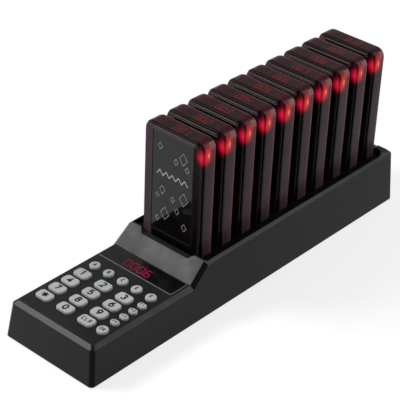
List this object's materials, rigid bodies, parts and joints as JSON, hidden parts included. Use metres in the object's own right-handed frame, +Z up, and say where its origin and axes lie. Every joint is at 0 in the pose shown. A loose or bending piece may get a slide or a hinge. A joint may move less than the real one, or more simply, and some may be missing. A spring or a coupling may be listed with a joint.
{
  "type": "guest pager system",
  "caption": "Restaurant call console: keypad and red digit display in front of a charging tray that holds a row of upright table pagers.",
  "frame": {"origin": "middle of the footprint, on the table under the rubber feet", "axes": "+X the operator's right, +Y from the keypad end to the rear, +Z up"},
  "size_m": [0.102, 0.4066, 0.1592],
  "materials": {
    "console_black": "fine satin moulding",
    "cover_black": "fine texture",
    "insert_black": "fine texture",
    "display_window": "polished dark filter",
    "digit_red": "red light-emitting segments in a dark block",
    "contact_sheet": "matt silicone",
    "board_green": "solder mask",
    "contact_brass": "plated",
    "socket_black": "moulded",
    "foot_rubber": "matt",
    "screw_steel": "zinc plated",
    "key_grey": "matt silicone with printed legend",
    "pager_face": "dark smoked red, polished",
    "label_card": "printed and laminated",
    "pager_shell": "dark smoked red, polished",
    "battery_wrap": "foil wrap",
    "motor_steel": "plain"
  },
  "bodies": {
    "console": {"top_housing": "console_black", "bottom_cover": "cover_black", "charging_bay": "insert_black", "display_window": "display_window", "display_module": "digit_red", "key_mat": "contact_sheet", "control_board": "board_green", "charging_board": "board_green", "charging_pins": "contact_brass", "dc_socket": "socket_black", "rubber_feet": "foot_rubber", "housing_screws": "screw_steel"},
    "key_star": {"key_star": "key_grey"},
    "key_0": {"key_0": "key_grey"},
    "key_clear": {"key_clear": "key_grey"},
    "key_7": {"key_7": "key_grey"},
    "key_8": {"key_8": "key_grey"},
    "key_9": {"key_9": "key_grey"},
    "key_4": {"key_4": "key_grey"},
    "key_5": {"key_5": "key_grey"},
    "key_6": {"key_6": "key_grey"},
    "key_1": {"key_1": "key_grey"},
    "key_2": {"key_2": "key_grey"},
    "key_3": {"key_3": "key_grey"},
    "key_a": {"key_a": "key_grey"},
    "key_b": {"key_b": "key_grey"},
    "key_c": {"key_c": "key_grey"},
    "key_e": {"key_e": "key_grey"},
    "key_f": {"key_f": "key_grey"},
    "key_f4": {"key_f4": "key_grey"},
    "key_f3": {"key_f3": "key_grey"},
    "key_f2": {"key_f2": "key_grey"},
    "key_f1": {"key_f1": "key_grey"},
    "key_enter": {"key_enter": "key_grey"},
    "pager_01": {"pager_01_front_case": "pager_face", "pager_01_label_panel": "label_card", "pager_01_back_case": "pager_shell", "pager_01_circuit_board": "board_green", "pager_01_number_display": "digit_red", "pager_01_battery": "battery_wrap", "pager_01_vibration_motor": "motor_steel", "pager_01_contacts": "contact_brass"},
    "pager_02": {"pager_02_front_case": "pager_face", "pager_02_back_case": "pager_shell"},
    "pager_03": {"pager_03_front_case": "pager_face", "pager_03_back_case": "pager_shell"},
    "pager_04": {"pager_04_front_case": "pager_face", "pager_04_back_case": "pager_shell"},
    "pager_05": {"pager_05_front_case": "pager_face", "pager_05_back_case": "pager_shell"},
    "pager_06": {"pager_06_front_case": "pager_face", "pager_06_back_case": "pager_shell"},
    "pager_07": {"pager_07_front_case": "pager_face", "pager_07_back_case": "pager_shell"},
    "pager_08": {"pager_08_front_case": "pager_face", "pager_08_back_case": "pager_shell"},
    "pager_09": {"pager_09_front_case": "pager_face", "pager_09_back_case": "pager_shell"},
    "pager_10": {"pager_10_front_case": "pager_face", "pager_10_back_case": "pager_shell"}
  },
  "joints": [
    {"name": "key_star_press", "type": "slide", "parent": "console", "child": "key_star", "axis": [0, 0, -1], "range_m": [0, 0.0012], "stiffness_N_per_m": 900},
    {"name": "key_0_press", "type": "slide", "parent": "console", "child": "key_0", "axis": [0, 0, -1], "range_m": [0, 0.0012], "stiffness_N_per_m": 900},
    {"name": "key_clear_press", "type": "slide", "parent": "console", "child": "key_clear", "axis": [0, 0, -1], "range_m": [0, 0.0012], "stiffness_N_per_m": 900},
    {"name": "key_7_press", "type": "slide", "parent": "console", "child": "key_7", "axis": [0, 0, -1], "range_m": [0, 0.0012], "stiffness_N_per_m": 900},
    {"name": "key_8_press", "type": "slide", "parent": "console", "child": "key_8", "axis": [0, 0, -1], "range_m": [0, 0.0012], "stiffness_N_per_m": 900},
    {"name": "key_9_press", "type": "slide", "parent": "console", "child": "key_9", "axis": [0, 0, -1], "range_m": [0, 0.0012], "stiffness_N_per_m": 900},
    {"name": "key_4_press", "type": "slide", "parent": "console", "child": "key_4", "axis": [0, 0, -1], "range_m": [0, 0.0012], "stiffness_N_per_m": 900},
    {"name": "key_5_press", "type": "slide", "parent": "console", "child": "key_5", "axis": [0, 0, -1], "range_m": [0, 0.0012], "stiffness_N_per_m": 900},
    {"name": "key_6_press", "type": "slide", "parent": "console", "child": "key_6", "axis": [0, 0, -1], "range_m": [0, 0.0012], "stiffness_N_per_m": 900},
    {"name": "key_1_press", "type": "slide", "parent": "console", "child": "key_1", "axis": [0, 0, -1], "range_m": [0, 0.0012], "stiffness_N_per_m": 900},
    {"name": "key_2_press", "type": "slide", "parent": "console", "child": "key_2", "axis": [0, 0, -1], "range_m": [0, 0.0012], "stiffness_N_per_m": 900},
    {"name": "key_3_press", "type": "slide", "parent": "console", "child": "key_3", "axis": [0, 0, -1], "range_m": [0, 0.0012], "stiffness_N_per_m": 900},
    {"name": "key_a_press", "type": "slide", "parent": "console", "child": "key_a", "axis": [0, 0, -1], "range_m": [0, 0.0012], "stiffness_N_per_m": 900},
    {"name": "key_b_press", "type": "slide", "parent": "console", "child": "key_b", "axis": [0, 0, -1], "range_m": [0, 0.0012], "stiffness_N_per_m": 900},
    {"name": "key_c_press", "type": "slide", "parent": "console", "child": "key_c", "axis": [0, 0, -1], "range_m": [0, 0.0012], "stiffness_N_per_m": 900},
    {"name": "key_e_press", "type": "slide", "parent": "console", "child": "key_e", "axis": [0, 0, -1], "range_m": [0, 0.0012], "stiffness_N_per_m": 900},
    {"name": "key_f_press", "type": "slide", "parent": "console", "child": "key_f", "axis": [0, 0, -1], "range_m": [0, 0.0012], "stiffness_N_per_m": 900},
    {"name": "key_f4_press", "type": "slide", "parent": "console", "child": "key_f4", "axis": [0, 0, -1], "range_m": [0, 0.0012], "stiffness_N_per_m": 900},
    {"name": "key_f3_press", "type": "slide", "parent": "console", "child": "key_f3", "axis": [0, 0, -1], "range_m": [0, 0.0012], "stiffness_N_per_m": 900},
    {"name": "key_f2_press", "type": "slide", "parent": "console", "child": "key_f2", "axis": [0, 0, -1], "range_m": [0, 0.0012], "stiffness_N_per_m": 900},
    {"name": "key_f1_press", "type": "slide", "parent": "console", "child": "key_f1", "axis": [0, 0, -1], "range_m": [0, 0.0012], "stiffness_N_per_m": 900},
    {"name": "key_enter_press", "type": "slide", "parent": "console", "child": "key_enter", "axis": [0, 0, -1], "range_m": [0, 0.0012], "stiffness_N_per_m": 900},
    {"name": "pager_01_lift", "type": "slide", "parent": "console", "child": "pager_01", "axis": [0, 0, 1], "range_m": [0, 0.13]},
    {"name": "pager_02_lift", "type": "slide", "parent": "console", "child": "pager_02", "axis": [0, 0, 1], "range_m": [0, 0.13]},
    {"name": "pager_03_lift", "type": "slide", "parent": "console", "child": "pager_03", "axis": [0, 0, 1], "range_m": [0, 0.13]},
    {"name": "pager_04_lift", "type": "slide", "parent": "console", "child": "pager_04", "axis": [0, 0, 1], "range_m": [0, 0.13]},
    {"name": "pager_05_lift", "type": "slide", "parent": "console", "child": "pager_05", "axis": [0, 0, 1], "range_m": [0, 0.13]},
    {"name": "pager_06_lift", "type": "slide", "parent": "console", "child": "pager_06", "axis": [0, 0, 1], "range_m": [0, 0.13]},
    {"name": "pager_07_lift", "type": "slide", "parent": "console", "child": "pager_07", "axis": [0, 0, 1], "range_m": [0, 0.13]},
    {"name": "pager_08_lift", "type": "slide", "parent": "console", "child": "pager_08", "axis": [0, 0, 1], "range_m": [0, 0.13]},
    {"name": "pager_09_lift", "type": "slide", "parent": "console", "child": "pager_09", "axis": [0, 0, 1], "range_m": [0, 0.13]},
    {"name": "pager_10_lift", "type": "slide", "parent": "console", "child": "pager_10", "axis": [0, 0, 1], "range_m": [0, 0.13]}
  ]
}
